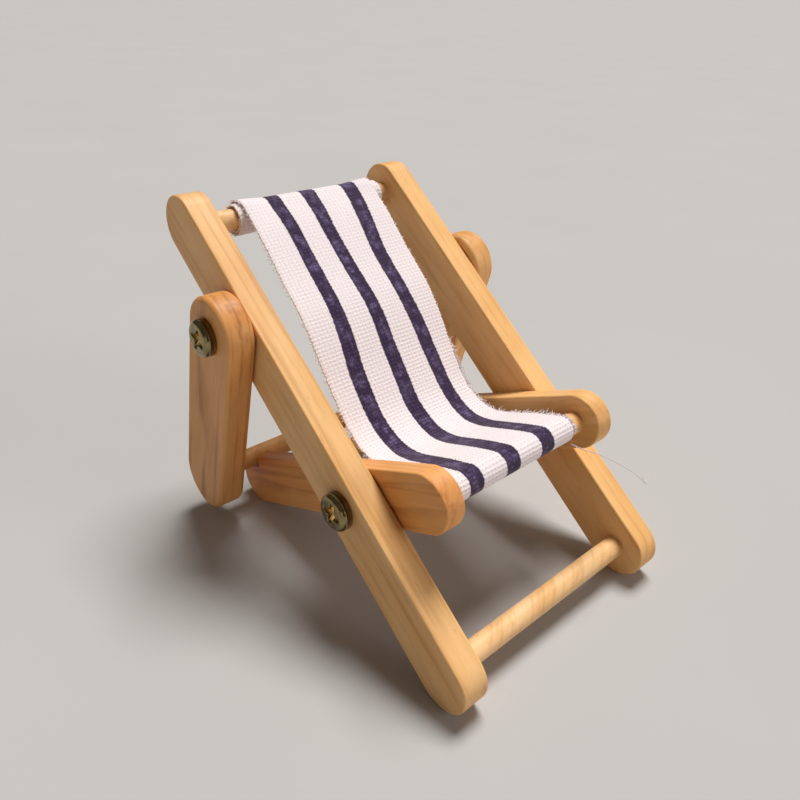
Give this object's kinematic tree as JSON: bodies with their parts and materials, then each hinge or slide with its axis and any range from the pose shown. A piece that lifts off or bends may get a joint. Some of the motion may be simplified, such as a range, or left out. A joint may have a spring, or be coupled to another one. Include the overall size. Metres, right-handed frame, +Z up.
{
  "type": "folding deck chair",
  "caption": "Miniature wooden folding deck chair with a striped cloth sling, a seat frame on pivot screws and a prop frame whose crossbar rests in steps cut in the seat rails.",
  "frame": {"origin": "on the floor, under the middle of the long frame's box", "axes": "+Z up, +X from the left side to the right, -Y towards the front feet, +Y towards the back"},
  "size_m": [0.0678, 0.083, 0.0631],
  "materials": {
    "pine_stick": "planed and sanded pale pine sticks, unvarnished, with fine straight grain and eased edges",
    "pine_dowel": "turned pale pine dowel, unvarnished",
    "brass_screw": "yellow-plated steel, slightly worn, with a cross recess",
    "striped_canvas": "plain-weave off-white cotton with three printed navy stripes"
  },
  "bodies": {
    "long_frame": {"long_rail_left": "pine_stick", "long_rail_right": "pine_stick", "top_dowel": "pine_dowel", "foot_dowel": "pine_dowel", "prop_pivot_screw_left": "brass_screw", "prop_pivot_screw_right": "brass_screw", "sling_top_sleeve": "striped_canvas", "sling_span": "striped_canvas"},
    "seat_frame": {"seat_rail_left": "pine_stick", "seat_rail_right": "pine_stick", "seat_front_dowel": "pine_dowel", "seat_rear_dowel": "pine_dowel", "seat_pivot_screw_left": "brass_screw", "seat_pivot_screw_right": "brass_screw", "sling_front_sleeve": "striped_canvas"},
    "prop_frame": {"prop_strut_left": "pine_stick", "prop_strut_right": "pine_stick", "prop_crossbar": "pine_dowel"}
  },
  "joints": [
    {"name": "seat_fold", "type": "hinge", "parent": "long_frame", "child": "seat_frame", "pos_m": [0, -0.01133, 0.02335], "axis": [1, 0, 0], "range_deg": [0, 62.56], "deforming": ["sling_span"]},
    {"name": "prop_fold", "type": "hinge", "parent": "long_frame", "child": "prop_frame", "pos_m": [0, 0.01788, 0.04456], "axis": [1, 0, 0], "range_deg": [0, 111.65]}
  ],
  "couplings": [
    {"joint": "prop_fold", "follows": "seat_fold", "ratio": 1.7842}
  ]
}
